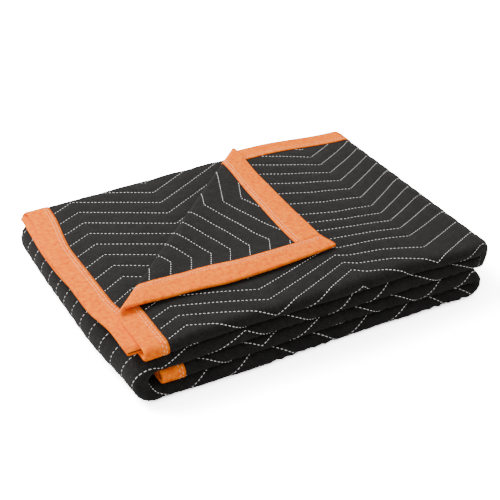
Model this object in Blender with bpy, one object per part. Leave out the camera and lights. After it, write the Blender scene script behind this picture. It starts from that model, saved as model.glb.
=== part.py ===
"""A quilted moving pad, folded in twelve layers with one corner turned back.

The panel and its binding are cut flat, with u along the panel, w across it and z through it.
One function then folds every point, so that all pieces keep their places on the cloth.
Metres, +Z up, +X along the long side, +Y to the back, origin at the middle of the footprint.
"""

from collections import namedtuple
from math import cos, hypot, pi, sin

import bmesh
import bpy
from mathutils import Vector

# Size of the folded pad
RIGHT_X = 0.2394
LOWER_RIGHT_X = 0.2247
LEFT_X = -0.2394
FRONT_Y = -0.174
BACK_Y = 0.174
INNER_EDGE_Y = -0.1570
INNER_END_X = -0.2040

# The cloth and its tape, as half thicknesses from the middle of the cloth. The tape is wider underneath.
HALF_PUFF = 0.0019
HALF_ROW = 0.0013
HALF_PLAIN = 0.0019
HALF_EDGE = 0.0013
TAPE_INSIDE = 0.0016
TAPE_OUTSIDE = 0.0023
TAPE_WIDTH = 0.0275
TAPE_UNDER_WIDTH = 0.0315
TAPE_GAP = 0.0004
PUFF_BACK = 0.006

# The sewn rows run in uneven zigzags: where rows 0, 5, 9, 12 and 27 are across the panel at each turn of them
KNOWN_ROWS = (0, 5, 9, 12, 27)
FIRST_ROW = -4
LAST_ROW = 38
ROW_EXACT = 0.001
ROW_TURNS = (
    (0.0, (0.051, 0.182, 0.288, 0.349, 0.765)),
    (0.058, (0.027, 0.158, 0.264, 0.325, 0.7335)),
    (0.162, (0.071, 0.202, 0.304, 0.372, 0.792)),
    (0.278, (0.034, 0.176, 0.266, 0.319, 0.727)),
    (0.292, (0.040, 0.186, 0.272, 0.330, 0.735)),
    (0.335, (0.062, 0.200, 0.277, 0.345, 0.755)),
    (0.387, (0.081, 0.203, 0.285, 0.376, 0.792)),
    (0.452, (0.041, 0.159, 0.254, 0.341, 0.745)),
)

# How far apart the three layers of each quarter lie, from the middle one to each outer one
Quarter = namedtuple("Quarter", "left middle right gap_below")
BOTTOM = Quarter(left=0.0082, middle=0.0082, right=0.0072, gap_below=0.0)
SECOND = Quarter(left=0.0068, middle=0.0068, right=0.0072, gap_below=0.0015)
THIRD = Quarter(left=0.0070, middle=0.0072, right=0.0054, gap_below=0.0012)
TOP = Quarter(left=0.0058, middle=0.0070, right=0.0054, gap_below=0.0009)
STACK = (BOTTOM, SECOND, THIRD, TOP)
FULL_FROM_X = -0.10
FULL_TO_X = 0.09

# The left ends of the top quarter's layers are a little out of line
TOP_END_X = -0.2155
MIDDLE_END_X = -0.2371
MIDDLE_END_BACK_IN = 0.0125
MIDDLE_END_FRONT_IN = 0.0077
MIDDLE_END_BACK_Y = 0.05
MIDDLE_END_BACK_LONG = 0.11
MIDDLE_END_FRONT_Y = -0.06
MIDDLE_END_FRONT_LONG = 0.06
UNDER_END_X = -0.2371
UNDER_END_BACK_IN = 0.0045
UNDER_END_FRONT_X = -0.2155
UNDER_END_STEEP = 1.6
UNDER_END_BACK_FROM = 0.7

# The turned corner
CREASE_U = 0.3040
CREASE_W = 0.2815
FLAP_SLIDE = 0.026
CREASE_RADIUS = 0.0050
FLAP_LIFT = 0.0060
FLAP_SINKS = 0.045
FLAP_SHRINK = 0.03
FLAP_FREE = 0.05
FLAP_FORWARD = 0.020
FORWARD_TO_U = 0.05
FORWARD_FADE = 0.13
FORWARD_FROM = 0.09
FLAP_SIDEWAYS = 0.009
SIDEWAYS_TO_U = 0.10
SIDEWAYS_FADE = 0.12
SIDEWAYS_DEEP = 0.12
FLAP_EAR = 0.03
FLAP_LONG = 0.25
FLAP_EDGE_LIFT = 0.0026
FLAP_EDGE_DEEP = 0.055

# How the pile has settled
BACK_LEFT_SETTLE = 0.05
SETTLE_FROM_Y = -0.08
SETTLE_DEEP = 0.24
SETTLE_TO_X = 0.06
SETTLE_LONG = 0.26
FRONT_WAVE = 0.0012
FRONT_WAVE_LONG = 0.045
FRONT_WAVE_RISE = 60
WAVE_FROM_Y = -0.08
WAVE_DEEP = 0.08
WAVE_ENDS = 0.04
LEFT_FRONT_IN = 0.0085
LEFT_FRONT_Y = -0.04
LEFT_FRONT_LONG = 0.13
LEFT_BACK_IN = 0.0012
LEFT_BACK_Y = 0.08
LEFT_BACK_LONG = 0.09
LEFT_IN_LONG = 0.12
CORNER_LONG = 0.045
CORNER_DEEP = 0.020
CORNER_IN = 0.018
CORNER_BACK = 0.010
CORNER_FROM_Z = 0.025
CORNER_LOWER = 0.06

COLLECTION = "moving_pad"


def smooth(t):
    """Ease from 0 to 1."""
    t = min(max(t, 0.0), 1.0)
    return t * t * (3 - 2 * t)


def mix(a, b, t):
    return a + (b - a) * t


def spread(quarter, x):
    """Distance from a quarter's middle layer to its outer ones."""
    right_x = UPPER_TURN_X if quarter in (TOP, THIRD) else LOWER_TURN_X
    if x > FULL_TO_X:
        return mix(quarter.middle, quarter.right, smooth((x - FULL_TO_X) / (right_x - FULL_TO_X)))
    return mix(quarter.middle, quarter.left, smooth((FULL_FROM_X - x) / (FULL_FROM_X - LEFT_X)))


def height(quarter, x):
    """Height of a quarter's middle layer, from those that lie under it."""
    z = 0.0
    for each in STACK:
        z += each.gap_below
        if each is quarter:
            return z + spread(each, x) + HALF_PUFF
        z += 2 * (spread(each, x) + HALF_PUFF)


# Where the quarters turn
UPPER_RADIUS = TOP.right + HALF_PUFF + TOP.gap_below / 2
UPPER_TURN_X = RIGHT_X - UPPER_RADIUS - TOP.right - HALF_PUFF
LOWER_RADIUS = SECOND.right + HALF_PUFF + SECOND.gap_below / 2
LOWER_TURN_X = LOWER_RIGHT_X - LOWER_RADIUS - SECOND.right - HALF_PUFF
WIDE_SPREAD = (THIRD.left + BOTTOM.left) / 2
WIDE_RADIUS = (height(THIRD, LEFT_X) - height(BOTTOM, LEFT_X)) / 2
WIDE_TURN_X = LEFT_X + HALF_PUFF + WIDE_SPREAD + WIDE_RADIUS

# The way along the panel: each stretch starts at start_u, with its first and last x
Stretch = namedtuple("Stretch", "quarter next_quarter start_u length from_x to_x radius heading turn")


def stretches():
    rows = []
    u = 0.0
    plan = (
        (TOP, None, MIDDLE_END_X, UPPER_TURN_X, 0.0, 0.0, 0),
        (TOP, THIRD, UPPER_TURN_X, UPPER_TURN_X, UPPER_RADIUS, 0.0, -1),
        (THIRD, None, UPPER_TURN_X, WIDE_TURN_X, 0.0, pi, 0),
        (THIRD, BOTTOM, WIDE_TURN_X, WIDE_TURN_X, WIDE_RADIUS, pi, 1),
        (BOTTOM, None, WIDE_TURN_X, LOWER_TURN_X, 0.0, 0.0, 0),
        (BOTTOM, SECOND, LOWER_TURN_X, LOWER_TURN_X, LOWER_RADIUS, 0.0, 1),
        (SECOND, None, LOWER_TURN_X, INNER_END_X, 0.0, pi, 0),
    )
    for quarter, next_quarter, from_x, to_x, radius, heading, turn in plan:
        length = pi * radius if turn else abs(to_x - from_x)
        rows.append(Stretch(quarter, next_quarter, u, length, from_x, to_x, radius, heading, turn))
        u += length
    return rows


WAY = stretches()
CUT_LENGTH = WAY[-1].start_u + WAY[-1].length

TOP_LENGTH = WAY[0].length

# The way across the panel: top layer, front roll, under layer, back roll, middle layer
ROLL_SPREAD = TOP.middle
TOP_LAYER = (BACK_Y - TAPE_OUTSIDE) - (FRONT_Y + HALF_PUFF + ROLL_SPREAD)
FRONT_ROLL = pi * ROLL_SPREAD
UNDER_LAYER = (BACK_Y - FRONT_Y) - 2 * HALF_PUFF - 1.5 * ROLL_SPREAD
BACK_ROLL = pi * ROLL_SPREAD / 2
MIDDLE_LAYER = BACK_Y - HALF_PUFF - ROLL_SPREAD / 2 - INNER_EDGE_Y
ROLL_W = TOP_LAYER
UNDER_W = ROLL_W + FRONT_ROLL
BACK_ROLL_W = UNDER_W + UNDER_LAYER
MIDDLE_W = BACK_ROLL_W + BACK_ROLL
CUT_WIDTH = MIDDLE_W + MIDDLE_LAYER

# The crease is a straight line on the flat cloth: how far from its corner, and in which direction
CREASE_OUT = (CREASE_W / hypot(CREASE_U, CREASE_W), CREASE_U / hypot(CREASE_U, CREASE_W))
CREASE_AWAY = CREASE_U * CREASE_OUT[0]


def along(u):
    """Place, direction across the layers and spread of the layers at u."""
    row = WAY[0]
    for each in WAY:
        if u >= each.start_u:
            row = each
    t = (u - row.start_u) / row.length
    if not row.turn:
        x = mix(row.from_x, row.to_x, t)
        return x, height(row.quarter, x), -sin(row.heading), cos(row.heading), spread(row.quarter, x)
    angle = row.heading + row.turn * pi * t
    apart = mix(spread(row.quarter, row.from_x), spread(row.next_quarter, row.from_x), smooth(t))
    centre_z = height(row.quarter, row.from_x) + row.turn * row.radius * cos(row.heading)
    out_x = row.turn * sin(angle)
    out_z = -row.turn * cos(angle)
    return row.from_x + row.radius * out_x, centre_z + row.radius * out_z, -sin(angle), cos(angle), apart


def across(w, apart):
    """Place and direction of the cloth's face across the panel, and how far its end is out of line."""
    front = FRONT_Y + HALF_PUFF + apart
    back = BACK_Y - HALF_PUFF - apart / 2
    top_end = TOP_END_X - MIDDLE_END_X
    under_front = UNDER_END_FRONT_X - MIDDLE_END_X
    under_end = UNDER_END_X - MIDDLE_END_X
    if w <= ROLL_W:
        return mix(BACK_Y - TAPE_OUTSIDE, front, w / TOP_LAYER), apart, 0.0, 1.0, top_end
    if w <= UNDER_W:
        t = (w - ROLL_W) / FRONT_ROLL
        a = pi * t
        return front - apart * sin(a), apart * cos(a), -sin(a), cos(a), mix(top_end, under_front, smooth(t))
    if w <= BACK_ROLL_W:
        t = (w - UNDER_W) / UNDER_LAYER
        at_back = smooth((t - UNDER_END_BACK_FROM) / (1 - UNDER_END_BACK_FROM))
        end = mix(under_front, under_end, smooth(UNDER_END_STEEP * t)) + UNDER_END_BACK_IN * at_back
        return mix(front, back, t), -apart, 0.0, -1.0, end
    if w <= MIDDLE_W:
        t = (w - BACK_ROLL_W) / BACK_ROLL
        a = pi * t
        half = apart / 2
        end = mix(under_end + UNDER_END_BACK_IN, MIDDLE_END_BACK_IN, t)
        return back + half * sin(a), -half - half * cos(a), sin(a), -cos(a), end
    y = mix(back, INNER_EDGE_Y, (w - MIDDLE_W) / MIDDLE_LAYER)
    end = MIDDLE_END_BACK_IN * smooth((y - MIDDLE_END_BACK_Y) / MIDDLE_END_BACK_LONG)
    end += MIDDLE_END_FRONT_IN * smooth((MIDDLE_END_FRONT_Y - y) / MIDDLE_END_FRONT_LONG)
    return y, 0.0, 0.0, 1.0, end


def settled(x, y, z):
    """The pile is lower at the back left, its front waves, and its front right corner is drawn in."""
    to_back = smooth((y - SETTLE_FROM_Y) / SETTLE_DEEP)
    lower = BACK_LEFT_SETTLE * to_back * smooth((SETTLE_TO_X - x) / SETTLE_LONG)
    front = smooth((WAVE_FROM_Y - y) / WAVE_DEEP) * smooth((RIGHT_X - abs(x)) / WAVE_ENDS)
    wave = FRONT_WAVE * (1 + sin(x / FRONT_WAVE_LONG + FRONT_WAVE_RISE * z)) * front
    to_right = min(max((x - RIGHT_X + CORNER_LONG) / CORNER_LONG, 0.0), 1.0)
    to_front = min(max((FRONT_Y + CORNER_DEEP - y) / CORNER_DEEP, 0.0), 1.0)
    corner = (to_right * to_front) ** 2 * smooth((z - CORNER_FROM_Z) / CORNER_FROM_Z)
    return x - CORNER_IN * corner, y + wave + CORNER_BACK * corner, z * (1 - lower - CORNER_LOWER * corner)


def laid(u, w, z):
    """A point of the panel, folded both ways."""
    path_x, path_z, across_x, across_z, apart = along(u)
    y, h, face_y, face_h, end = across(w, apart)
    if u < TOP_LENGTH:
        path_x += end * (1 - u / TOP_LENGTH)
    h += z * face_h
    x = path_x + across_x * h
    y += z * face_y
    if u > TOP_LENGTH:
        drawn_in = LEFT_FRONT_IN * smooth((LEFT_FRONT_Y - y) / LEFT_FRONT_LONG)
        drawn_in += LEFT_BACK_IN * smooth((y - LEFT_BACK_Y) / LEFT_BACK_LONG)
        x += drawn_in * smooth((LEFT_X + LEFT_IN_LONG - x) / LEFT_IN_LONG)
    return x, y, path_z + across_z * h


def folded(u, w, z):
    """A point of the panel, folded, with the corner turned back over its crease."""
    s = CREASE_AWAY - (u * CREASE_OUT[0] + w * CREASE_OUT[1])
    if s <= 0:
        return settled(*laid(u, w, z))
    angle = min(s / CREASE_RADIUS, pi)
    flat = max(s - pi * CREASE_RADIUS, 0.0)
    sag = sin(pi * min(max(w, 0.0) / FLAP_LONG, 1.0))
    free = min(flat / FLAP_FREE, 1.0)
    forward = FLAP_FORWARD * sag * (1 - smooth((u - FORWARD_TO_U) / FORWARD_FADE))
    forward *= min(flat / FORWARD_FROM, 1.0) ** 2
    sideways = FLAP_SIDEWAYS * smooth(u / FLAP_EAR) * (1 - smooth((u - SIDEWAYS_TO_U) / SIDEWAYS_FADE) / 2)
    sideways *= (1 - smooth(w / SIDEWAYS_DEEP)) * free ** 2
    from_edge = min((u + TAPE_OUTSIDE) / FLAP_EDGE_DEEP, 1.0)
    edge_lift = FLAP_EDGE_LIFT * sag * sin(pi * from_edge) ** 2 * free
    reach = (CREASE_RADIUS - z) * sin(angle) - flat * (1 - FLAP_SHRINK)
    u -= forward
    w += sideways
    flat += forward * CREASE_OUT[0] - sideways * CREASE_OUT[1]
    lift = CREASE_RADIUS - (CREASE_RADIUS - z) * cos(angle)
    away = CREASE_AWAY - reach
    side = u * CREASE_OUT[1] - w * CREASE_OUT[0] + FLAP_SLIDE * flat / CREASE_AWAY
    foot_u = away * CREASE_OUT[0] + side * CREASE_OUT[1]
    foot_w = away * CREASE_OUT[1] - side * CREASE_OUT[0]
    x, y, under = laid(foot_u, foot_w, 0.0)
    lift += edge_lift - (2 * CREASE_RADIUS - FLAP_LIFT) * smooth(flat / FLAP_SINKS)
    return settled(x, y, under + lift)


# The lines where the flat cloth bends: places along u and w
TOP_STEP_X = (-0.190, -0.159, -0.106, -0.052, 0.001, 0.054, 0.100, 0.135, 0.161, 0.190)
LOWER_STEP_X = (-0.159, -0.052, 0.054, 0.100, 0.135, 0.161, 0.190)
STEP_MARGIN = 0.03
RIGHT_TURN_STEPS = 5
WIDE_TURN_STEPS = 6
FRONT_ROLL_STEPS = 6
BACK_ROLL_STEPS = 4
CREASE_STEPS = 5
TOP_LAYER_STEPS = 7
LOWER_LAYER_STEPS = 3
TAPE_ROUND_STEPS = 3


def bends_along():
    lines = []
    for row in WAY:
        if row.turn:
            steps = WIDE_TURN_STEPS if row.radius == WIDE_RADIUS else RIGHT_TURN_STEPS
            lines += [row.start_u + row.length * i / steps for i in range(steps + 1)]
            continue
        step_x = TOP_STEP_X if row.quarter is TOP else LOWER_STEP_X
        shares = [(x - row.from_x) / (row.to_x - row.from_x) for x in step_x]
        lines += [row.start_u + row.length * t for t in shares if STEP_MARGIN < t < 1 - STEP_MARGIN]
    under_edge = TAPE_UNDER_WIDTH + TAPE_GAP
    lines += [TAPE_WIDTH / 2, TAPE_WIDTH + TAPE_GAP, under_edge, under_edge + PUFF_BACK]
    far = [TAPE_WIDTH / 2, under_edge, under_edge + PUFF_BACK]
    return sorted(lines + [CUT_LENGTH - each for each in far])


def bends_across():
    under_edge = TAPE_UNDER_WIDTH + TAPE_GAP
    lines = [TAPE_WIDTH / 2, TAPE_WIDTH + TAPE_GAP, under_edge, under_edge + PUFF_BACK]
    lines += [CUT_WIDTH - under_edge, CUT_WIDTH - under_edge - PUFF_BACK, ROLL_W - CORNER_DEEP / 2]
    stretches_w = (
        (0.0, TOP_LAYER, TOP_LAYER_STEPS),
        (ROLL_W, FRONT_ROLL, FRONT_ROLL_STEPS),
        (UNDER_W, UNDER_LAYER, LOWER_LAYER_STEPS),
        (BACK_ROLL_W, BACK_ROLL, BACK_ROLL_STEPS),
        (MIDDLE_W, MIDDLE_LAYER, LOWER_LAYER_STEPS),
    )
    for start, length, steps in stretches_w:
        lines += [start + length * i / steps for i in range(steps)]
    return sorted(lines)


def row_place(row, u):
    """Where a sewn row, or a place between two rows, is across the panel at u."""
    turn = 1
    while u > ROW_TURNS[turn][0] and turn < len(ROW_TURNS) - 1:
        turn += 1
    (from_u, here), (to_u, there) = ROW_TURNS[turn - 1:turn + 1]
    t = (u - from_u) / (to_u - from_u)
    known = 1
    while row > KNOWN_ROWS[known] and known < len(KNOWN_ROWS) - 1:
        known += 1
    beyond = (row - KNOWN_ROWS[known - 1]) / (KNOWN_ROWS[known] - KNOWN_ROWS[known - 1])
    return mix(mix(here[known - 1], here[known], beyond), mix(there[known - 1], there[known], beyond), t)


def row_at(u, w):
    """The number of the sewn row at a place; its fraction says how far it is to the next row."""
    low, high = FIRST_ROW, LAST_ROW
    while high - low > ROW_EXACT:
        middle = (low + high) / 2
        if row_place(middle, u) < w:
            low = middle
        else:
            high = middle
    return low


# Where the quilting shows: the top layer with the turned corner, and the middle layer beside it
Shown = namedtuple("Shown", "from_w to_w to_u reach")
QUILTED_FROM = TAPE_UNDER_WIDTH + TAPE_GAP + PUFF_BACK
QUILTED = (
    Shown(from_w=QUILTED_FROM, to_w=UNDER_W, to_u=WAY[1].start_u, reach=2.0),
    Shown(from_w=MIDDLE_W, to_w=CUT_WIDTH - 0.05, to_u=0.29, reach=0.30),
)


def quilted(u, w):
    """Whether the rows are raised here."""
    for area in QUILTED:
        inside = area.from_w <= w <= area.to_w and QUILTED_FROM <= u <= area.to_u
        if inside and u + w - area.from_w <= area.reach:
            return True
    return False


def half_thickness(u, w, side):
    """The cloth is thin at its sewn rows and pressed flat under its tape."""
    near_tape = TAPE_WIDTH if side > 0 else TAPE_UNDER_WIDTH
    near = min(u, w) < near_tape + 2 * TAPE_GAP
    if near or min(CUT_LENGTH - u, CUT_WIDTH - w) < TAPE_UNDER_WIDTH + 2 * TAPE_GAP:
        return HALF_EDGE
    if not quilted(u, w):
        return HALF_PLAIN
    row = row_at(u, w)
    from_row = abs(row - round(row)) * 2
    return mix(HALF_ROW, HALF_PUFF, from_row)


def cut(cloth, point, normal, faces=None):
    """Add the edges of a straight line across the flat cloth."""
    if faces is None:
        geometry = cloth.verts[:] + cloth.edges[:] + cloth.faces[:]
    else:
        edges = {edge for face in faces for edge in face.edges}
        points = {point for face in faces for point in face.verts}
        geometry = list(points) + list(edges) + faces
    bmesh.ops.bisect_plane(cloth, geom=geometry, dist=1e-6, plane_co=point, plane_no=normal)


def cut_bends(cloth, low_u, high_u, low_w, high_w):
    for u in bends_along():
        if low_u < u < high_u:
            cut(cloth, (u, 0, 0), (1, 0, 0))
    for w in bends_across():
        if low_w < w < high_w:
            cut(cloth, (0, w, 0), (0, 1, 0))
    turn = pi * CREASE_RADIUS
    crease = [turn * i / CREASE_STEPS for i in range(CREASE_STEPS + 1)]
    for s in crease + [turn + FLAP_SINKS / 2, turn + FLAP_SINKS]:
        away = CREASE_AWAY - s
        if low_u < away / CREASE_OUT[0] and low_w < away / CREASE_OUT[1]:
            cut(cloth, (away / CREASE_OUT[0], 0, 0), (*CREASE_OUT, 0))


def cut_rows(cloth):
    """Add the sewn rows and the middles of the puffs between them."""
    for (low, _), (high, _) in zip(ROW_TURNS, ROW_TURNS[1:]):
        for half_row in range(2 * FIRST_ROW, 2 * LAST_ROW):
            low_w = row_place(half_row / 2, low)
            high_w = row_place(half_row / 2, high)
            faces = []
            for face in cloth.faces:
                centre = face.calc_center_median()
                if low < centre.x < high and abs(face.normal.z) > 0.9 and quilted(centre.x, centre.y):
                    faces.append(face)
            if faces:
                cut(cloth, (low, low_w, 0), (low_w - high_w, high - low, 0), faces)


def flat_slab(low_u, high_u, low_w, high_w):
    """A flat sheet of cloth with its faces at z = 1 and z = -1."""
    cloth = bmesh.new()
    bmesh.ops.create_cube(cloth, size=2.0)
    for point in cloth.verts:
        point.co.x = low_u if point.co.x < 0 else high_u
        point.co.y = low_w if point.co.y < 0 else high_w
    return cloth


def tape_outline():
    """The tape's section round an edge: how far it is inside the edge, and its height."""
    outer = []
    inner = []
    for i in range(TAPE_ROUND_STEPS + 1):
        angle = pi / 2 + pi * i / TAPE_ROUND_STEPS
        outer.append((TAPE_OUTSIDE * cos(angle), TAPE_OUTSIDE * sin(angle)))
        inner.append((TAPE_INSIDE * cos(angle), TAPE_INSIDE * sin(angle)))
    outer = [(TAPE_WIDTH, TAPE_OUTSIDE)] + outer + [(TAPE_UNDER_WIDTH, -TAPE_OUTSIDE)]
    inner = [(TAPE_WIDTH, TAPE_INSIDE)] + inner + [(TAPE_UNDER_WIDTH, -TAPE_INSIDE)]
    return outer + inner[::-1]


def flat_tape(start, end, place):
    """A straight tape; place turns (inside the edge, along the edge, height) into (u, w, z)."""
    tape = bmesh.new()
    outline = [tape.verts.new(place(inside, start, z)) for inside, z in tape_outline()]
    face = tape.faces.new(outline)
    out = bmesh.ops.extrude_face_region(tape, geom=[face])
    far_end = [each for each in out["geom"] if isinstance(each, bmesh.types.BMVert)]
    bmesh.ops.translate(tape, verts=far_end, vec=Vector(place(0, end, 0)) - Vector(place(0, start, 0)))
    return tape


def fold_up(name, flat, thickness, material, collection):
    """Fold the flat piece and make an object of it."""
    bmesh.ops.triangulate(flat, faces=flat.faces, quad_method="BEAUTY", ngon_method="BEAUTY")
    bmesh.ops.recalc_face_normals(flat, faces=flat.faces)
    for point in flat.verts:
        u, w, z = point.co
        point.co = folded(u, w, z * thickness(u, w, z))
    bmesh.ops.reverse_faces(flat, faces=flat.faces)
    mesh = bpy.data.meshes.new(name)
    flat.to_mesh(mesh)
    flat.free()
    mesh.shade_smooth()
    mesh.materials.append(material)
    collection.objects.link(bpy.data.objects.new(name, mesh))


def finish(name, colour, roughness):
    material = bpy.data.materials.new(name)
    material.use_nodes = True
    shader = material.node_tree.nodes["Principled BSDF"]
    shader.inputs["Base Color"].default_value = (*colour, 1.0)
    shader.inputs["Roughness"].default_value = roughness
    shader.inputs["Metallic"].default_value = 0.0
    return material


def make_panel(collection):
    black = finish("black_nonwoven", (0.030, 0.029, 0.028), 0.95)
    cloth = flat_slab(0.0, CUT_LENGTH, 0.0, CUT_WIDTH)
    cut_bends(cloth, 0.0, CUT_LENGTH, 0.0, CUT_WIDTH)
    cut_rows(cloth)
    fold_up("pad", cloth, half_thickness, black, collection)


def make_tapes(collection):
    orange = finish("orange_nonwoven", (0.87, 0.33, 0.09), 0.85)
    over = TAPE_OUTSIDE
    beside = TAPE_UNDER_WIDTH + TAPE_GAP
    long_ends = (beside, CUT_LENGTH - beside)
    short_ends = (-over, CUT_WIDTH + over)
    tapes = (
        ("binding_end_top", short_ends, lambda inside, at, z: (inside, at, z)),
        ("binding_end_inner", short_ends, lambda inside, at, z: (CUT_LENGTH - inside, at, z)),
        ("binding_long_top", long_ends, lambda inside, at, z: (at, inside, z)),
        ("binding_long_inner", long_ends, lambda inside, at, z: (at, CUT_WIDTH - inside, z)),
    )
    for name, (start, end), place in tapes:
        tape = flat_tape(start, end, place)
        low_u = min(point.co.x for point in tape.verts)
        high_u = max(point.co.x for point in tape.verts)
        low_w = min(point.co.y for point in tape.verts)
        high_w = max(point.co.y for point in tape.verts)
        cut_bends(tape, low_u, high_u, low_w, high_w)
        fold_up(name, tape, lambda u, w, side: 1.0, orange, collection)


def main():
    for each in list(bpy.data.objects):
        bpy.data.objects.remove(each)
    collection = bpy.data.collections.new(COLLECTION)
    bpy.context.scene.collection.children.link(collection)
    make_panel(collection)
    make_tapes(collection)


main()
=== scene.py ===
from collections import namedtuple
from math import cos, hypot, pi, radians, sin, sqrt

import bmesh
import bpy
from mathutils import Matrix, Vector, noise


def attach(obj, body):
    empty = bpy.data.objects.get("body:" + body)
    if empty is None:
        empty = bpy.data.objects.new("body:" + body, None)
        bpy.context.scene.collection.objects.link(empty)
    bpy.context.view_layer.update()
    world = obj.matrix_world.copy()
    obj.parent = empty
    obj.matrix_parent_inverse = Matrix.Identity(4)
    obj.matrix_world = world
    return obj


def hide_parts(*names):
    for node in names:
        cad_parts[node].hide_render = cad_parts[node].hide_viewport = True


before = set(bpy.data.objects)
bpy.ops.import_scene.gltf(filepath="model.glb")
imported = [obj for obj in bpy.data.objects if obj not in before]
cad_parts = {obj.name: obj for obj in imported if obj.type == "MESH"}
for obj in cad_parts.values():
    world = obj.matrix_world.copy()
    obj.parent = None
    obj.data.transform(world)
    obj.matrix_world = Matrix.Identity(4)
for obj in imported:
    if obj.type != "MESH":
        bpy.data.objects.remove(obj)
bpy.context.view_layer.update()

# The camera stands before the front left corner and looks down on the folded pad, as in the photo.
# Its place and lens were worked out from the pad's straight edges in the 500 by 500 picture.
CAMERA_PLACE = (-0.5708, -1.053, 0.7935)
CAMERA_DOWN = 32.3
CAMERA_TURN = -28.4
LENS_MM = 83.07

camera_data = bpy.data.cameras.new("camera")
camera_data.lens = LENS_MM
camera_data.sensor_width = 36.0
camera = bpy.data.objects.new("camera", camera_data)
camera.location = CAMERA_PLACE
camera.rotation_euler = (radians(90 - CAMERA_DOWN), 0, radians(CAMERA_TURN))
bpy.context.scene.collection.objects.link(camera)
bpy.context.scene.camera = camera


# The quilted panel: two black needled nonwoven faces over a thin filling, sewn through in zigzag rows.
# It is cut flat, with u along it, w across it and z through it. It is folded in three lengthwise, as a
# letter, then in four crosswise, and one corner of its top layer is turned back over a crease.

# Where the outside of the block is, and the two edges inside it
RIGHT_X = 0.2394
LOWER_RIGHT_X = 0.2247
LEFT_X = -0.2394
FRONT_Y = -0.174
BACK_Y = 0.174
INNER_EDGE_Y = -0.1570
INNER_END_X = -0.2040

# Half the cloth's thickness: between two rows, on a row, and pressed flat under the tape
HALF_PUFF = 0.0019
HALF_ROW = 0.0012
HALF_EDGE = 0.0013
PUFF_ROUND = 2.6
PUFF_RISE = 0.008
PUFF_BACK = 0.006
Wrinkles = namedtuple("Wrinkles", "share per_metre seed")
CLOTH_WRINKLES = (
    Wrinkles(share=0.6, per_metre=38, seed=5.0),
    Wrinkles(share=0.5, per_metre=110, seed=9.0),
)
WRINKLE_DEEP = 0.00055
WRINKLE_ON_ROW = 0.25

# Where the tape's two faces are from the cloth's middle, and how far it reaches in from the edge
TAPE_INSIDE = 0.0015
TAPE_OUTSIDE = 0.0023
TAPE_WIDTH = 0.0275
TAPE_UNDER_WIDTH = 0.0315
TAPE_GAP = 0.0004

# The sewn rows run in uneven zigzags: where rows 0, 5, 9, 12 and 27 are across the panel at each turn
KNOWN_ROWS = (0, 5, 9, 12, 27)
FIRST_ROW = -4
LAST_ROW = 42
ROW_EXACT = 0.001
ROW_TURNS = (
    (0.0, (0.051, 0.182, 0.288, 0.349, 0.765)),
    (0.058, (0.027, 0.158, 0.264, 0.325, 0.7335)),
    (0.162, (0.071, 0.202, 0.304, 0.372, 0.792)),
    (0.278, (0.034, 0.176, 0.266, 0.319, 0.727)),
    (0.292, (0.040, 0.186, 0.272, 0.330, 0.735)),
    (0.335, (0.062, 0.200, 0.277, 0.345, 0.755)),
    (0.387, (0.081, 0.203, 0.285, 0.376, 0.792)),
    (0.452, (0.041, 0.159, 0.254, 0.341, 0.745)),
)
# Beyond the top quarter the rows are even, and only row 12 is given
LATER_PITCH = 0.0256
LATER_TURNS = (
    (0.495, 0.316), (0.607, 0.366), (0.710, 0.3105), (0.808, 0.3545), (0.9175, 0.320), (1.010, 0.3565),
    (1.115, 0.305), (1.218, 0.355), (1.328, 0.3045), (1.4165, 0.360), (1.505, 0.315), (1.6125, 0.369),
    (1.7136, 0.3235), (1.85, 0.385),
)
ROW_TURNS += tuple(
    (u, tuple(row_12 + (row - 12) * LATER_PITCH for row in KNOWN_ROWS)) for u, row_12 in LATER_TURNS
)

# The four quarters from the floor up: how far the middle one of a quarter's three layers is from its
# outer ones at the left, in the middle and at the right, and the gap below the quarter
Quarter = namedtuple("Quarter", "left middle right gap_below")
BOTTOM = Quarter(left=0.0082, middle=0.0082, right=0.0072, gap_below=0.0)
SECOND = Quarter(left=0.0068, middle=0.0068, right=0.0072, gap_below=0.0015)
THIRD = Quarter(left=0.0070, middle=0.0072, right=0.0054, gap_below=0.0012)
TOP = Quarter(left=0.0058, middle=0.0070, right=0.0054, gap_below=0.0009)
STACK = (BOTTOM, SECOND, THIRD, TOP)
FULL_FROM_X = -0.10
FULL_TO_X = 0.09

# The three layers of the top quarter end in three different lines at the left
TOP_END_X = -0.2155
MIDDLE_END_X = -0.2371
MIDDLE_END_BACK_IN = 0.0125
MIDDLE_END_FRONT_IN = 0.0077
MIDDLE_END_BACK_Y = 0.05
MIDDLE_END_BACK_LONG = 0.11
MIDDLE_END_FRONT_Y = -0.06
MIDDLE_END_FRONT_LONG = 0.06
UNDER_END_X = -0.2371
UNDER_END_BACK_IN = 0.0045
UNDER_END_FRONT_X = -0.2155
UNDER_END_STEEP = 1.6
UNDER_END_BACK_FROM = 0.7

# The crease cuts off this much of both edges, and past it the loose corner slides, sags and bulges
CREASE_U = 0.3040
CREASE_W = 0.2815
FLAP_SLIDE = 0.026
CREASE_RADIUS = 0.0050
FLAP_LIFT = 0.0060
FLAP_SINKS = 0.045
FLAP_SHRINK = 0.03
FLAP_FREE = 0.05
FLAP_FORWARD = 0.020
FORWARD_TO_U = 0.05
FORWARD_FADE = 0.13
FORWARD_FROM = 0.09
FLAP_SIDEWAYS = 0.009
SIDEWAYS_TO_U = 0.10
SIDEWAYS_FADE = 0.12
SIDEWAYS_DEEP = 0.12
FLAP_EAR = 0.03
FLAP_LONG = 0.25
CREASE_STEPS = 8
FLAP_EDGE_LIFT = 0.0026
FLAP_EDGE_DEEP = 0.055

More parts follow.
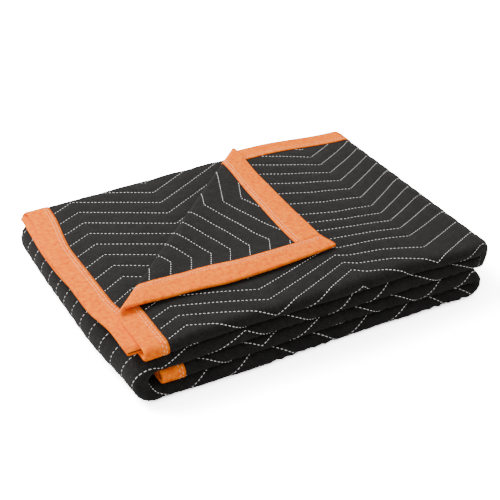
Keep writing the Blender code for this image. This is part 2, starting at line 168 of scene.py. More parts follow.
# The pile has settled at the back left, and its front is wavy
BACK_LEFT_SETTLE = 0.05
SETTLE_FROM_Y = -0.08
SETTLE_DEEP = 0.24
SETTLE_TO_X = 0.06
SETTLE_LONG = 0.26
FRONT_WAVE = 0.0012
FRONT_WAVE_LONG = 0.045
FRONT_WAVE_RISE = 60
WAVE_FROM_Y = -0.08
WAVE_DEEP = 0.08
WAVE_ENDS = 0.04

# Its left end is drawn in at the front and the back, and its front right corner is rounded
LEFT_FRONT_IN = 0.0085
LEFT_FRONT_Y = -0.04
LEFT_FRONT_LONG = 0.13
LEFT_BACK_IN = 0.0012
LEFT_BACK_Y = 0.08
LEFT_BACK_LONG = 0.09
LEFT_IN_LONG = 0.12
CORNER_LONG = 0.045
CORNER_DEEP = 0.020
CORNER_IN = 0.018
CORNER_BACK = 0.010
CORNER_FROM_Z = 0.025
CORNER_LOWER = 0.06

# How far apart the panel's lines of points are along each stretch: closest in the turns
LINE_STEPS = (0.0071, 0.0030, 0.0142, 0.0044, 0.0142, 0.0044, 0.0142)
# How many parts the cloth between two rows has, and where it is hidden and has fewer
PARTS_SEEN = 8
PARTS_HIDDEN = 2
HIDDEN_PAST_ROLL = 0.012
HIDDEN_BEFORE_BACK = 0.106


def smooth(t):
    t = min(max(t, 0.0), 1.0)
    return t * t * (3 - 2 * t)


def mix(a, b, t):
    return a + (b - a) * t


def spread(quarter, x):
    """Distance from a quarter's middle layer to its outer ones."""
    right_x = UPPER_TURN_X if quarter in (TOP, THIRD) else LOWER_TURN_X
    if x > FULL_TO_X:
        return mix(quarter.middle, quarter.right, smooth((x - FULL_TO_X) / (right_x - FULL_TO_X)))
    return mix(quarter.middle, quarter.left, smooth((FULL_FROM_X - x) / (FULL_FROM_X - LEFT_X)))


def height(quarter, x):
    """Height of a quarter's middle layer, from those that lie under it."""
    z = 0.0
    for each in STACK:
        z += each.gap_below
        if each is quarter:
            return z + spread(each, x) + HALF_PUFF
        z += 2 * (spread(each, x) + HALF_PUFF)


UPPER_RADIUS = TOP.right + HALF_PUFF + TOP.gap_below / 2
UPPER_TURN_X = RIGHT_X - UPPER_RADIUS - TOP.right - HALF_PUFF
LOWER_RADIUS = SECOND.right + HALF_PUFF + SECOND.gap_below / 2
LOWER_TURN_X = LOWER_RIGHT_X - LOWER_RADIUS - SECOND.right - HALF_PUFF
WIDE_SPREAD = (THIRD.left + BOTTOM.left) / 2
WIDE_RADIUS = (height(THIRD, LEFT_X) - height(BOTTOM, LEFT_X)) / 2
WIDE_TURN_X = LEFT_X + HALF_PUFF + WIDE_SPREAD + WIDE_RADIUS

Stretch = namedtuple("Stretch", "quarter next_quarter start_u length from_x to_x radius heading turn")


def stretches():
    """The panel's way from its top end to its inner one: straight runs and half turns."""
    rows = []
    u = 0.0
    plan = (
        (TOP, None, MIDDLE_END_X, UPPER_TURN_X, 0.0, 0.0, 0),
        (TOP, THIRD, UPPER_TURN_X, UPPER_TURN_X, UPPER_RADIUS, 0.0, -1),
        (THIRD, None, UPPER_TURN_X, WIDE_TURN_X, 0.0, pi, 0),
        (THIRD, BOTTOM, WIDE_TURN_X, WIDE_TURN_X, WIDE_RADIUS, pi, 1),
        (BOTTOM, None, WIDE_TURN_X, LOWER_TURN_X, 0.0, 0.0, 0),
        (BOTTOM, SECOND, LOWER_TURN_X, LOWER_TURN_X, LOWER_RADIUS, 0.0, 1),
        (SECOND, None, LOWER_TURN_X, INNER_END_X, 0.0, pi, 0),
    )
    for quarter, next_quarter, from_x, to_x, radius, heading, turn in plan:
        length = pi * radius if turn else abs(to_x - from_x)
        rows.append(Stretch(quarter, next_quarter, u, length, from_x, to_x, radius, heading, turn))
        u += length
    return rows


WAY = stretches()
CUT_LENGTH = WAY[-1].start_u + WAY[-1].length
TOP_LENGTH = WAY[0].length

ROLL_SPREAD = TOP.middle
TOP_LAYER = (BACK_Y - TAPE_OUTSIDE) - (FRONT_Y + HALF_PUFF + ROLL_SPREAD)
FRONT_ROLL = pi * ROLL_SPREAD
UNDER_LAYER = (BACK_Y - FRONT_Y) - 2 * HALF_PUFF - 1.5 * ROLL_SPREAD
BACK_ROLL = pi * ROLL_SPREAD / 2
MIDDLE_LAYER = BACK_Y - HALF_PUFF - ROLL_SPREAD / 2 - INNER_EDGE_Y
ROLL_W = TOP_LAYER
UNDER_W = ROLL_W + FRONT_ROLL
BACK_ROLL_W = UNDER_W + UNDER_LAYER
MIDDLE_W = BACK_ROLL_W + BACK_ROLL
CUT_WIDTH = MIDDLE_W + MIDDLE_LAYER
CREASE_OUT = (CREASE_W / hypot(CREASE_U, CREASE_W), CREASE_U / hypot(CREASE_U, CREASE_W))
CREASE_AWAY = CREASE_U * CREASE_OUT[0]


def along(u):
    """Place, direction across the layers and spread of the layers at u."""
    row = WAY[0]
    for each in WAY:
        if u >= each.start_u:
            row = each
    t = (u - row.start_u) / row.length
    if not row.turn:
        x = mix(row.from_x, row.to_x, t)
        return x, height(row.quarter, x), -sin(row.heading), cos(row.heading), spread(row.quarter, x)
    angle = row.heading + row.turn * pi * t
    apart = mix(spread(row.quarter, row.from_x), spread(row.next_quarter, row.from_x), smooth(t))
    centre_z = height(row.quarter, row.from_x) + row.turn * row.radius * cos(row.heading)
    out_x = row.turn * sin(angle)
    out_z = -row.turn * cos(angle)
    return row.from_x + row.radius * out_x, centre_z + row.radius * out_z, -sin(angle), cos(angle), apart


def across(w, apart):
    """Place and direction of the cloth's face across the panel, and how far its end is out of line."""
    front = FRONT_Y + HALF_PUFF + apart
    back = BACK_Y - HALF_PUFF - apart / 2
    top_end = TOP_END_X - MIDDLE_END_X
    under_front = UNDER_END_FRONT_X - MIDDLE_END_X
    under_end = UNDER_END_X - MIDDLE_END_X
    if w <= ROLL_W:
        return mix(BACK_Y - TAPE_OUTSIDE, front, w / TOP_LAYER), apart, 0.0, 1.0, top_end
    if w <= UNDER_W:
        t = (w - ROLL_W) / FRONT_ROLL
        a = pi * t
        return front - apart * sin(a), apart * cos(a), -sin(a), cos(a), mix(top_end, under_front, smooth(t))
    if w <= BACK_ROLL_W:
        t = (w - UNDER_W) / UNDER_LAYER
        at_back = smooth((t - UNDER_END_BACK_FROM) / (1 - UNDER_END_BACK_FROM))
        end = mix(under_front, under_end, smooth(UNDER_END_STEEP * t)) + UNDER_END_BACK_IN * at_back
        return mix(front, back, t), -apart, 0.0, -1.0, end
    if w <= MIDDLE_W:
        t = (w - BACK_ROLL_W) / BACK_ROLL
        a = pi * t
        half = apart / 2
        end = mix(under_end + UNDER_END_BACK_IN, MIDDLE_END_BACK_IN, t)
        return back + half * sin(a), -half - half * cos(a), sin(a), -cos(a), end
    y = mix(back, INNER_EDGE_Y, (w - MIDDLE_W) / MIDDLE_LAYER)
    end = MIDDLE_END_BACK_IN * smooth((y - MIDDLE_END_BACK_Y) / MIDDLE_END_BACK_LONG)
    end += MIDDLE_END_FRONT_IN * smooth((MIDDLE_END_FRONT_Y - y) / MIDDLE_END_FRONT_LONG)
    return y, 0.0, 0.0, 1.0, end


def settled(x, y, z):
    """The pile is lower at the back left, its front waves, and its front right corner is drawn in."""
    to_back = smooth((y - SETTLE_FROM_Y) / SETTLE_DEEP)
    lower = BACK_LEFT_SETTLE * to_back * smooth((SETTLE_TO_X - x) / SETTLE_LONG)
    front = smooth((WAVE_FROM_Y - y) / WAVE_DEEP) * smooth((RIGHT_X - abs(x)) / WAVE_ENDS)
    wave = FRONT_WAVE * (1 + sin(x / FRONT_WAVE_LONG + FRONT_WAVE_RISE * z)) * front
    to_right = min(max((x - RIGHT_X + CORNER_LONG) / CORNER_LONG, 0.0), 1.0)
    to_front = min(max((FRONT_Y + CORNER_DEEP - y) / CORNER_DEEP, 0.0), 1.0)
    corner = (to_right * to_front) ** 2 * smooth((z - CORNER_FROM_Z) / CORNER_FROM_Z)
    return x - CORNER_IN * corner, y + wave + CORNER_BACK * corner, z * (1 - lower - CORNER_LOWER * corner)


def laid(u, w, z):
    """A point of the panel, folded both ways."""
    path_x, path_z, across_x, across_z, apart = along(u)
    y, h, face_y, face_h, end = across(w, apart)
    if u < TOP_LENGTH:
        path_x += end * (1 - u / TOP_LENGTH)
    h += z * face_h
    x = path_x + across_x * h
    y += z * face_y
    if u > TOP_LENGTH:
        drawn_in = LEFT_FRONT_IN * smooth((LEFT_FRONT_Y - y) / LEFT_FRONT_LONG)
        drawn_in += LEFT_BACK_IN * smooth((y - LEFT_BACK_Y) / LEFT_BACK_LONG)
        x += drawn_in * smooth((LEFT_X + LEFT_IN_LONG - x) / LEFT_IN_LONG)
    return x, y, path_z + across_z * h


def folded(u, w, z):
    """A point of the panel, folded, with the corner turned back over its crease."""
    past_crease = CREASE_AWAY - (u * CREASE_OUT[0] + w * CREASE_OUT[1])
    if past_crease <= 0:
        return settled(*laid(u, w, z))
    # It goes half round the crease, and the rest of it runs back flat
    angle = min(past_crease / CREASE_RADIUS, pi)
    flat = max(past_crease - pi * CREASE_RADIUS, 0.0)
    # Its front edge bows forwards and stands up a little, and its other edge shifts near the corner
    sag = sin(pi * min(max(w, 0.0) / FLAP_LONG, 1.0))
    free = min(flat / FLAP_FREE, 1.0)
    forward = FLAP_FORWARD * sag * (1 - smooth((u - FORWARD_TO_U) / FORWARD_FADE))
    forward *= min(flat / FORWARD_FROM, 1.0) ** 2
    sideways = FLAP_SIDEWAYS * smooth(u / FLAP_EAR) * (1 - smooth((u - SIDEWAYS_TO_U) / SIDEWAYS_FADE) / 2)
    sideways *= (1 - smooth(w / SIDEWAYS_DEEP)) * free ** 2
    from_edge = min((u + TAPE_OUTSIDE) / FLAP_EDGE_DEEP, 1.0)
    edge_lift = FLAP_EDGE_LIFT * sag * sin(pi * from_edge) ** 2 * free
    # It lies on the place of the layer under it that is below it, and sinks onto it past the crease
    reach = (CREASE_RADIUS - z) * sin(angle) - flat * (1 - FLAP_SHRINK)
    u -= forward
    w += sideways
    flat += forward * CREASE_OUT[0] - sideways * CREASE_OUT[1]
    lift = CREASE_RADIUS - (CREASE_RADIUS - z) * cos(angle)
    away = CREASE_AWAY - reach
    side = u * CREASE_OUT[1] - w * CREASE_OUT[0] + FLAP_SLIDE * flat / CREASE_AWAY
    foot_u = away * CREASE_OUT[0] + side * CREASE_OUT[1]
    foot_w = away * CREASE_OUT[1] - side * CREASE_OUT[0]
    x, y, under = laid(foot_u, foot_w, 0.0)
    lift += edge_lift - (2 * CREASE_RADIUS - FLAP_LIFT) * smooth(flat / FLAP_SINKS)
    return settled(x, y, under + lift)


def row_place(row, u):
    """Where a sewn row, or a place between two rows, is across the panel at u."""
    turn = 1
    while u > ROW_TURNS[turn][0] and turn < len(ROW_TURNS) - 1:
        turn += 1
    (from_u, here), (to_u, there) = ROW_TURNS[turn - 1:turn + 1]
    t = (u - from_u) / (to_u - from_u)
    known = 1
    while row > KNOWN_ROWS[known] and known < len(KNOWN_ROWS) - 1:
        known += 1
    beyond = (row - KNOWN_ROWS[known - 1]) / (KNOWN_ROWS[known] - KNOWN_ROWS[known - 1])
    return mix(mix(here[known - 1], here[known], beyond), mix(there[known - 1], there[known], beyond), t)


def row_at(u, w):
    """The number of the sewn row at a place; its fraction says how far it is to the next row."""
    low, high = FIRST_ROW, LAST_ROW
    while high - low > ROW_EXACT:
        middle = (low + high) / 2
        if row_place(middle, u) < w:
            low = middle
        else:
            high = middle
    return low


def half_thickness(u, w, side):
    """The cloth puffs up between its rows, is pressed flat under its tape, and is a little uneven."""
    from_edge = min(u, w, CUT_LENGTH - u, CUT_WIDTH - w)
    tape_width = TAPE_WIDTH if side > 0 else TAPE_UNDER_WIDTH
    if from_edge < tape_width + 2 * TAPE_GAP:
        return HALF_EDGE
    row = row_at(u, w)
    from_row = abs(row - round(row)) * 2
    puff = 1 - (1 - from_row) ** PUFF_ROUND
    wrinkle = 0.0
    for each in CLOTH_WRINKLES:
        wrinkle += each.share * noise.noise((u * each.per_metre, w * each.per_metre, side * each.seed))
    thick = mix(HALF_ROW, HALF_PUFF, puff) + WRINKLE_DEEP * wrinkle * mix(WRINKLE_ON_ROW, 1.0, puff)
    return mix(HALF_EDGE, thick, smooth((from_edge - tape_width) / PUFF_RISE))


def steps(start, stop, size):
    """Even places from start up to, but not at, stop, about size apart."""
    count = max(1, round((stop - start) / size))
    return [start + (stop - start) * i / count for i in range(count)]


def lines_along():
    """The places along the panel, from its top end to its inner one, that have a line of points."""
    lines = []
    for row, size in zip(WAY, LINE_STEPS):
        lines += steps(row.start_u, row.start_u + row.length, size)
    return lines + [CUT_LENGTH]


def lines_across():
    """The rows, as numbers with fractions, along which the panel has a line of points."""
    lines = []
    for row in range(FIRST_ROW, LAST_ROW):
        w = row_place(row, ROW_TURNS[1][0])
        hidden = UNDER_W + HIDDEN_PAST_ROLL < w < BACK_ROLL_W - HIDDEN_BEFORE_BACK
        parts = PARTS_HIDDEN if hidden else PARTS_SEEN
        lines += [row + i / parts for i in range(parts)]
    return lines


def cut(cloth, point, normal, drop_below=False):
    """Add a straight line of points to the flat cloth, and drop what is behind it if asked to."""
    geometry = cloth.verts[:] + cloth.edges[:] + cloth.faces[:]
    bmesh.ops.bisect_plane(
        cloth, geom=geometry, dist=1e-6, plane_co=point, plane_no=normal, clear_inner=drop_below
    )


def cut_crease(cloth):
    """Add the lines on which the cloth turns at the crease."""
    for i in range(CREASE_STEPS + 1):
        away = CREASE_AWAY - pi * CREASE_RADIUS * i / CREASE_STEPS
        cut(cloth, (away / CREASE_OUT[0], 0, 0), (*CREASE_OUT, 0))


def flat_panel():
    """The flat cloth as a closed sheet, its faces at z = 1 and z = -1, its lines along the sewn rows."""
    cloth = bmesh.new()
    grid = [[cloth.verts.new((u, row_place(row, u), 0)) for row in lines_across()] for u in lines_along()]
    for here, there in zip(grid, grid[1:]):
        for i in range(len(here) - 1):
            if max(here[i + 1].co.y, there[i + 1].co.y) > 0 and min(here[i].co.y, there[i].co.y) < CUT_WIDTH:
                cloth.faces.new((here[i], there[i], there[i + 1], here[i + 1]))
    bmesh.ops.delete(cloth, geom=[each for each in cloth.verts if not each.link_faces], context="VERTS")
    cut(cloth, (0, 0, 0), (0, 1, 0), True)
    cut(cloth, (0, CUT_WIDTH, 0), (0, -1, 0), True)
    for inside in (TAPE_WIDTH + TAPE_GAP, TAPE_UNDER_WIDTH + TAPE_GAP, TAPE_UNDER_WIDTH + PUFF_BACK):
        for w in (inside, CUT_WIDTH - inside):
            cut(cloth, (0, w, 0), (0, 1, 0))
        for u in (inside, CUT_LENGTH - inside):
            cut(cloth, (u, 0, 0), (1, 0, 0))
    cut_crease(cloth)
    out = bmesh.ops.extrude_face_region(cloth, geom=cloth.faces[:], use_keep_orig=True)
    raised = {each for each in out["geom"] if isinstance(each, bmesh.types.BMVert)}
    for point in cloth.verts:
        point.co.z = 1 if point in raised else -1
    return cloth


def fold_up(name, flat, thickness):
    """Fold the flat piece and make an object of it."""
    bmesh.ops.recalc_face_normals(flat, faces=flat.faces)
    for point in flat.verts:
        u, w, z = point.co
        point.co = folded(u, w, z * thickness(u, w, z))
    bmesh.ops.reverse_faces(flat, faces=flat.faces)
    mesh = bpy.data.meshes.new(name)
    flat.to_mesh(mesh)
    flat.free()
    mesh.shade_smooth()
    piece = bpy.data.objects.new(name, mesh)
    bpy.context.scene.collection.objects.link(piece)
    return piece


def linear(code):
    """An sRGB hex colour as linear red, green, blue and alpha."""
    channels = [int(code[i:i + 2], 16) / 255 for i in (1, 3, 5)]
    return [c / 12.92 if c <= 0.04045 else ((c + 0.055) / 1.055) ** 2.4 for c in channels] + [1.0]


def add(tree, kind, settings=None, links=None):
    """Add a node: settings are its properties or, by name or number, its inputs; links feed its inputs."""
    node = tree.nodes.new(kind)
    for key, value in (settings or {}).items():
        if isinstance(key, str) and hasattr(node, key):
            setattr(node, key, value)
        else:
            node.inputs[key].default_value = value
    for key, source in (links or {}).items():
        tree.links.new(source, node.inputs[key])
    return node


def needled_nonwoven():
    """Black needled polyester felt: matt, with a faint grey bloom of loose fibres and fine needle marks."""
    material = bpy.data.materials.new("needled_nonwoven")
    material.use_nodes = True
    tree = material.node_tree
    shader = tree.nodes["Principled BSDF"]
    shader.inputs["Roughness"].default_value = 0.80
    shader.inputs["Specular IOR Level"].default_value = 0.14
    shader.inputs["Sheen Weight"].default_value = 0.05
    shader.inputs["Sheen Roughness"].default_value = 0.55
    shader.inputs["Sheen Tint"].default_value = linear("#C9C4BC")
    place = add(tree, "ShaderNodeTexCoord").outputs["Object"]
    # Real fibres are about 0.02 mm and their needle holes under 1 mm: both are drawn coarse enough to show
    fibre_mm = 1.3
    fibres = add(
        tree, "ShaderNodeTexNoise", {"Scale": 1000 / fibre_mm, "Detail": 3.0, "Roughness": 0.6},
        {"Vector": place},
    )
    clump_mm = 9.0
    clumps = add(
        tree, "ShaderNodeTexNoise", {"Scale": 1000 / clump_mm, "Detail": 4.0, "Roughness": 0.65},
        {"Vector": place},
    )
    needle_mm = 2.4
    needles = add(
        tree, "ShaderNodeTexVoronoi", {"Scale": 1000 / needle_mm, "Randomness": 0.75}, {"Vector": place}
    )
    fibre_tone = add(tree, "ShaderNodeValToRGB", links={"Fac": fibres.outputs["Fac"]})
    fibre_tone.color_ramp.elements[0].position = 0.38
    fibre_tone.color_ramp.elements[0].color = linear("#060606")
    fibre_tone.color_ramp.elements[1].position = 0.72
    fibre_tone.color_ramp.elements[1].color = linear("#292725")
    clump_tone = add(tree, "ShaderNodeValToRGB", links={"Fac": clumps.outputs["Fac"]})
    clump_tone.color_ramp.elements[0].position = 0.35
    clump_tone.color_ramp.elements[0].color = linear("#B4B4B4")
    clump_tone.color_ramp.elements[1].position = 0.70
    clump_tone.color_ramp.elements[1].color = linear("#FFFFFF")
    colour = add(
        tree, "ShaderNodeMix", {"data_type": "RGBA", "blend_type": "MULTIPLY", 0: 1.0},
        {6: fibre_tone.outputs["Color"], 7: clump_tone.outputs["Color"]},
    )
    tree.links.new(colour.outputs[2], shader.inputs["Base Color"])
    relief = add(
        tree, "ShaderNodeMath", {"operation": "MULTIPLY_ADD", 1: 0.6},
        {0: needles.outputs["Distance"], 2: fibres.outputs["Fac"]},
    )
    bump = add(tree, "ShaderNodeBump", {"Strength": 0.8, "Distance": 0.0009}, {"Height": relief.outputs[0]})
    tree.links.new(bump.outputs["Normal"], shader.inputs["Normal"])
    return material


panel = fold_up("quilted_panel", flat_panel(), half_thickness)
panel.data.materials.append(needled_nonwoven())
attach(panel, "root")
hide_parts("pad")


# The binding: an orange nonwoven tape, folded over each edge of the panel and sewn down. It covers
# about 27 mm of the upper face and 31 mm of the under face, which shows on the turned corner.
# The tapes of the two short edges run the whole width, and those of the long edges butt against them.
TAPE_ROUND_STEPS = 6
TAPE_LEG_STEPS = 6
TAPE_END_CLEAR = 0.001
# How far apart its sections are across each layer and roll, from the top's free edge to the inner edge
WIDTH_STEPS = (0.008, 0.0025, 0.012, 0.0018, 0.010)
# Its outer face swells by up to a tenth of its height, and sinks by less than half as much
OUTER_FACE_DEEP = 0.0001
TAPE_WRINKLES = (
    Wrinkles(share=0.6, per_metre=60, seed=900),
    Wrinkles(share=0.4, per_metre=150, seed=900),
)
TAPE_SWELL = 0.10
TAPE_SINK_SHARE = 0.4


def tape_outline():
    """The tape's section round an edge: how far it is inside the edge, and its height."""
    shares = [1 - i / TAPE_LEG_STEPS for i in range(TAPE_LEG_STEPS)]
    sides = []
    for radius in (TAPE_OUTSIDE, TAPE_INSIDE):
        angles = [pi / 2 + pi * i / TAPE_ROUND_STEPS for i in range(TAPE_ROUND_STEPS + 1)]
        turn = [(radius * cos(angle), radius * sin(angle)) for angle in angles]
        above = [(TAPE_WIDTH * share, radius) for share in shares]
        below = [(TAPE_UNDER_WIDTH * share, -radius) for share in reversed(shares)]
        sides.append(above + turn + below)
    return sides[0] + sides[1][::-1]


def flat_tape(places, place):
    """A straight tape; place turns (inside the edge, along the edge, height) into (u, w, z)."""
    tape = bmesh.new()
    outline = tape_outline()
    rings = [[tape.verts.new(place(inside, at, z)) for inside, z in outline] for at in places]
    for here, there in zip(rings, rings[1:]):
        for i in range(len(outline)):
            tape.faces.new((here[i - 1], here[i], there[i], there[i - 1]))
    half = len(outline) // 2
    for ring in (rings[0], rings[-1]):
        for i in range(half - 1):
            tape.faces.new((ring[i], ring[i + 1], ring[-2 - i], ring[-1 - i]))
    return tape


def tape_places(lines, start, end):
    """Where the tape has a section: closely in the turns, and at its two ends."""
    between = [each for each in lines if start + TAPE_END_CLEAR < each < end - TAPE_END_CLEAR]
    return [start] + between + [end]


def tape_unevenness(u, w, z):
    """What a point's height is multiplied by: the tape's outer face is a little wavy."""
    if abs(z) < TAPE_OUTSIDE - OUTER_FACE_DEEP:
        return 1.0
    wave = 0.0
    for each in TAPE_WRINKLES:
        wave += each.share * noise.noise((u * each.per_metre, w * each.per_metre, z * each.seed))
    return 1.0 + TAPE_SWELL * max(wave, -TAPE_SINK_SHARE)


def sheet_nonwoven():
    """Orange spunbond polypropylene tape: matt, mottled where its fibres lie thick and thin."""
    material = bpy.data.materials.new("sheet_nonwoven")
    material.use_nodes = True
    tree = material.node_tree
    shader = tree.nodes["Principled BSDF"]
    shader.inputs["Roughness"].default_value = 0.80
    shader.inputs["Specular IOR Level"].default_value = 0.02
    place = add(tree, "ShaderNodeTexCoord").outputs["Object"]
    cloud_mm = 5.0
    clouds = add(
        tree, "ShaderNodeTexNoise", {"Scale": 1000 / cloud_mm, "Detail": 5.0, "Roughness": 0.7},
        {"Vector": place},
    )
    # Real fibres are about 0.02 mm: they are drawn coarse enough to show
    fibre_mm = 1.1
    fibres = add(tree, "ShaderNodeTexNoise", {"Scale": 1000 / fibre_mm, "Detail": 2.0}, {"Vector": place})
    tone = add(tree, "ShaderNodeValToRGB", links={"Fac": clouds.outputs["Fac"]})
    tone.color_ramp.elements[0].position = 0.34
    tone.color_ramp.elements[0].color = linear("#E05400")
    tone.color_ramp.elements[1].position = 0.66
    tone.color_ramp.elements[1].color = linear("#FF8400")
    tree.links.new(tone.outputs["Color"], shader.inputs["Base Color"])
    bump = add(
        tree, "ShaderNodeBump", {"Strength": 0.5, "Distance": 0.0006}, {"Height": fibres.outputs["Fac"]}
    )
    soft = add(
        tree, "ShaderNodeBump", {"Strength": 0.6, "Distance": 0.002},
        {"Height": clouds.outputs["Fac"], "Normal": bump.outputs["Normal"]},
    )
    tree.links.new(soft.outputs["Normal"], shader.inputs["Normal"])
    return material


tape_finish = sheet_nonwoven()
beside = TAPE_UNDER_WIDTH + TAPE_GAP
along_long = tape_places(lines_along(), beside, CUT_LENGTH - beside)
layer_edges = (0, ROLL_W, UNDER_W, BACK_ROLL_W, MIDDLE_W, CUT_WIDTH)
width_lines = []
for from_w, to_w, size in zip(layer_edges, layer_edges[1:], WIDTH_STEPS):
    width_lines += steps(from_w, to_w, size)
along_short = tape_places(width_lines, -TAPE_OUTSIDE, CUT_WIDTH + TAPE_OUTSIDE)
TAPES = (
    ("binding_end_top", along_short, lambda inside, at, z: (inside, at, z)),
    ("binding_end_inner", along_short, lambda inside, at, z: (CUT_LENGTH - inside, at, z)),
    ("binding_long_top", along_long, lambda inside, at, z: (at, inside, z)),
    ("binding_long_inner", along_long, lambda inside, at, z: (at, CUT_WIDTH - inside, z)),
)
for node, places, place in TAPES:
    flat = flat_tape(places, place)
    cut_crease(flat)
    tape = fold_up(node.replace("binding", "tape"), flat, tape_unevenness)
    tape.data.materials.append(tape_finish)
    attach(tape, "root")
    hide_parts(node)


# The sewing: white polyester thread, in lock stitches about 5 mm long that show as dashes.
# The rows on the panel run in zigzags, and each tape is held by two rows beside its inner edge.
STITCH = 0.0048
DASH = 0.0029
DASH_PARTS = 4
THREAD_SIDES = 4
THREAD_WIDE = 0.00034
THREAD_HIGH = 0.00040
THREAD_SUNK = 0.0001
THREAD_END_WIDE = 0.55
THREAD_OVAL = 0.8
THREAD_BEDDED = 0.6
TRACK_STEP = 0.0005
TRACK_AHEAD = 1.5 * TRACK_STEP
ROW_CLEAR = 0.001
# A zigzag row is less than this many times as long as the cloth
ROW_LONGER = 1.2


def dash(mesh, track, s, side, surface):
    """One stitch: a thread that comes up out of the cloth, lies on it and goes down again."""
    ring_before = None
    for i in range(DASH_PARTS + 1):
        t = i / DASH_PARTS
        u, w = track(s + DASH * t)
        next_u, next_w = track(s + DASH * t + TRACK_AHEAD)
        run_u, run_w = next_u - u, next_w - w
        long = sqrt(run_u ** 2 + run_w ** 2)
        out_u, out_w = -run_w / long, run_u / long
        rise = THREAD_HIGH * sqrt(4 * t * (1 - t)) - THREAD_SUNK
        half_wide = THREAD_WIDE * mix(THREAD_END_WIDE, 1.0, sin(pi * t))
        ring = []
        for k in range(THREAD_SIDES + 1):
            angle = pi * k / THREAD_SIDES
            aside = half_wide * cos(angle)
            up = surface(u, w) + rise + half_wide * THREAD_OVAL * (sin(angle) - THREAD_BEDDED)
            ring.append(mesh.verts.new(folded(u + out_u * aside, w + out_w * aside, side * up)))
        if ring_before:
            for k in range(THREAD_SIDES):
                face = (ring_before[k], ring_before[k + 1], ring[k + 1], ring[k])
                mesh.faces.new(face if side < 0 else face[::-1])
        ring_before = ring


def spun_thread(name, soiled, clean):
    """Spun polyester thread: soft, with its twist too fine to show."""
    material = bpy.data.materials.new(name)
    material.use_nodes = True
    tree = material.node_tree
    shader = tree.nodes["Principled BSDF"]
    shader.inputs["Roughness"].default_value = 0.6
    shader.inputs["Sheen Weight"].default_value = 0.1
    place = add(tree, "ShaderNodeTexCoord").outputs["Object"]
    soil_mm = 12.0
    soil = add(tree, "ShaderNodeTexNoise", {"Scale": 1000 / soil_mm, "Detail": 2.0}, {"Vector": place})
    tone = add(tree, "ShaderNodeValToRGB", links={"Fac": soil.outputs["Fac"]})
    tone.color_ramp.elements[0].color = linear(soiled)
    tone.color_ramp.elements[1].color = linear(clean)
    tree.links.new(tone.outputs["Color"], shader.inputs["Base Color"])
    return material


# How far past a turn, a roll or the crease the cloth can still be seen
PAST_TURN = 0.01
PAST_WIDE_TURN = 0.02
PAST_CREASE = 0.03
PAST_FRONT_ROLL = 0.006
PAST_BACK_ROLL_UNDER = 0.008
PAST_BACK_ROLL_MIDDLE = 0.004


def shows(u, w, side):
    """Whether a face of the panel is seen from some side once it is folded."""
    top_quarter = u < TOP_LENGTH
    turned = u * CREASE_OUT[0] + w * CREASE_OUT[1] < CREASE_AWAY
    if turned:
        return side < 0
    if side < 0:
        return False
    if top_quarter and w < UNDER_W + PAST_TURN:
        return True
    if top_quarter and w > MIDDLE_W - PAST_TURN:
        return u + w - MIDDLE_W < CREASE_U + PAST_CREASE
    if ROLL_W - PAST_FRONT_ROLL < w < UNDER_W + PAST_FRONT_ROLL:
        return True
    if BACK_ROLL_W - PAST_BACK_ROLL_UNDER < w < MIDDLE_W + PAST_BACK_ROLL_MIDDLE:
        return True
    upper_turn, wide_turn, lower_turn = WAY[1], WAY[3], WAY[5]
    if w < ROLL_W:
        return upper_turn.start_u - PAST_TURN < u < upper_turn.start_u + upper_turn.length + PAST_TURN
    if UNDER_W < w < BACK_ROLL_W:
        return wide_turn.start_u - PAST_WIDE_TURN < u < lower_turn.start_u + lower_turn.length + PAST_TURN
    return False


def sewing(name, stitches, thread_finish):
    """All the stitches of one kind as one piece."""
    mesh = bmesh.new()
    for track, s, side, surface in stitches:
        dash(mesh, track, s, side, surface)
    data = bpy.data.meshes.new(name)
    mesh.to_mesh(data)
    mesh.free()
    data.shade_smooth()
    piece = bpy.data.objects.new(name, data)
    bpy.context.scene.collection.objects.link(piece)
    piece.data.materials.append(thread_finish)
    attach(piece, "root")
    return piece


def row_track(row):
    """A sewn row as places at even distances along it."""
    points = []
    u = 0.0
    while u < CUT_LENGTH:
        w = row_place(row, u)
        points.append((u, w))
        slope = (row_place(row, u + TRACK_STEP) - w) / TRACK_STEP
        u += TRACK_STEP / sqrt(1 + slope ** 2)
    return lambda s: points[min(int(s / TRACK_STEP), len(points) - 1)]


def row_stitches():
    """The stitches of all zigzag rows that can be seen on either face."""
    found = []
    for row in range(FIRST_ROW, LAST_ROW):
        track = row_track(row)
        s = 0.0
        while s < CUT_LENGTH * ROW_LONGER:
            u, w = track(s + DASH / 2)
            s += STITCH
            for side, edge in ((1, TAPE_WIDTH + ROW_CLEAR), (-1, TAPE_UNDER_WIDTH + ROW_CLEAR)):
                free = edge < u < CUT_LENGTH - edge and edge < w < CUT_WIDTH - edge
                if free and shows(u, w, side):
                    found.append((track, s - STITCH, side, lambda a, b, z=side: half_thickness(a, b, z)))
    return found


white_thread = spun_thread("white_thread", "#E4E1DA", "#FFFFFF")
row_sewing = sewing("row_sewing", row_stitches(), white_thread)


TapeRow = namedtuple("TapeRow", "from_inner_edge first_stitch")
TAPE_ROWS = (
    TapeRow(from_inner_edge=0.0072, first_stitch=0.0),
    TapeRow(from_inner_edge=0.0034, first_stitch=0.0021),
)


def tape_stitches():
    """Two rows on each tape that shows, on both of its faces, near its inner edge."""
    found = []
    for side, width in ((1, TAPE_WIDTH), (-1, TAPE_UNDER_WIDTH)):
        for tape_row in TAPE_ROWS:
            inset = width - tape_row.from_inner_edge
            runs = (
                (lambda s, i=inset: (i, s), 0.0, CUT_WIDTH),
                (lambda s, i=inset: (CUT_LENGTH - i, s), 0.0, CUT_WIDTH),
                (lambda s, i=inset: (s, i), beside, CUT_LENGTH - beside),
            )
            for track, first, last in runs:
                s = first + tape_row.first_stitch
                while s < last - STITCH:
                    found.append((track, s, side, lambda a, b: TAPE_OUTSIDE))
                    s += STITCH
    return found


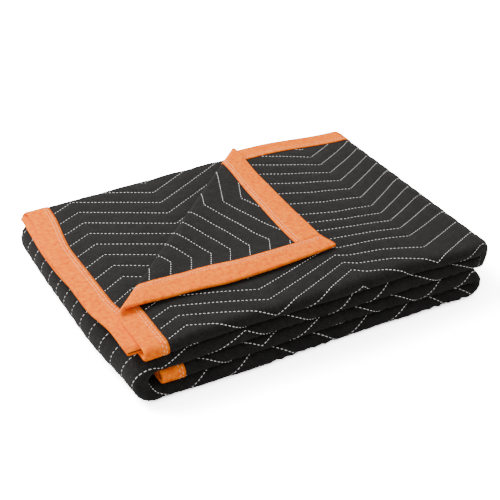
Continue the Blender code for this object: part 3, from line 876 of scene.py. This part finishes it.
# On the tape the thin white thread takes on the orange that lies under it
pale_thread = spun_thread("pale_thread", "#F0B480", "#FFE0BE")
tape_sewing = sewing("tape_sewing", tape_stitches(), pale_thread)


# The floor is a plain white studio surface, and soft light comes from above and from the left.
# Neither is part of the pad.
FLOOR_HALF = 6.0
PAPER_SEEN = 11.0
LAMP_AIM = (0, 0, 0.03)


def studio_white():
    """Matt white paper, overexposed as the camera sees it, which takes a soft grey shadow."""
    material = bpy.data.materials.new("studio_white")
    material.use_nodes = True
    tree = material.node_tree
    shader = tree.nodes["Principled BSDF"]
    shader.inputs["Roughness"].default_value = 0.95
    shader.inputs["Specular IOR Level"].default_value = 0.1
    place = add(tree, "ShaderNodeTexCoord").outputs["Object"]
    paper_mm = 400.0
    paper = add(tree, "ShaderNodeTexNoise", {"Scale": 1000 / paper_mm, "Detail": 1.0}, {"Vector": place})
    tone = add(tree, "ShaderNodeValToRGB", links={"Fac": paper.outputs["Fac"]})
    tone.color_ramp.elements[0].color = linear("#B4B4B4")
    tone.color_ramp.elements[1].color = linear("#BABABA")
    tree.links.new(tone.outputs["Color"], shader.inputs["Base Color"])
    overexposed = add(tree, "ShaderNodeBsdfDiffuse", {"Color": (PAPER_SEEN, PAPER_SEEN, PAPER_SEEN, 1.0)})
    camera_sees = add(tree, "ShaderNodeLightPath").outputs["Is Camera Ray"]
    seen = add(
        tree, "ShaderNodeMixShader",
        links={0: camera_sees, 1: shader.outputs["BSDF"], 2: overexposed.outputs["BSDF"]},
    )
    tree.links.new(seen.outputs["Shader"], tree.nodes["Material Output"].inputs["Surface"])
    return material


floor_mesh = bmesh.new()
bmesh.ops.create_grid(floor_mesh, x_segments=2, y_segments=2, size=FLOOR_HALF)
floor_data = bpy.data.meshes.new("floor")
floor_mesh.to_mesh(floor_data)
floor_mesh.free()
floor = bpy.data.objects.new("floor", floor_data)
floor.data.materials.append(studio_white())
bpy.context.scene.collection.objects.link(floor)

Lamp = namedtuple("Lamp", "name place size watts")
LAMPS = (
    Lamp(name="soft_key", place=(-0.9, 0.9, 1.7), size=1.4, watts=80.0),
    Lamp(name="soft_fill", place=(-1.2, -1.4, 1.3), size=1.6, watts=9.0),
)
for lamp in LAMPS:
    light = bpy.data.lights.new(lamp.name, "AREA")
    light.energy = lamp.watts
    light.size = lamp.size
    holder = bpy.data.objects.new(lamp.name, light)
    holder.location = lamp.place
    holder.rotation_euler = (Vector(LAMP_AIM) - Vector(lamp.place)).to_track_quat("-Z", "Y").to_euler()
    bpy.context.scene.collection.objects.link(holder)

world = bpy.data.worlds.new("studio")
world.use_nodes = True
world.node_tree.nodes["Background"].inputs["Color"].default_value = (1.0, 1.0, 1.0, 1.0)
world.node_tree.nodes["Background"].inputs["Strength"].default_value = 1.0
bpy.context.scene.world = world
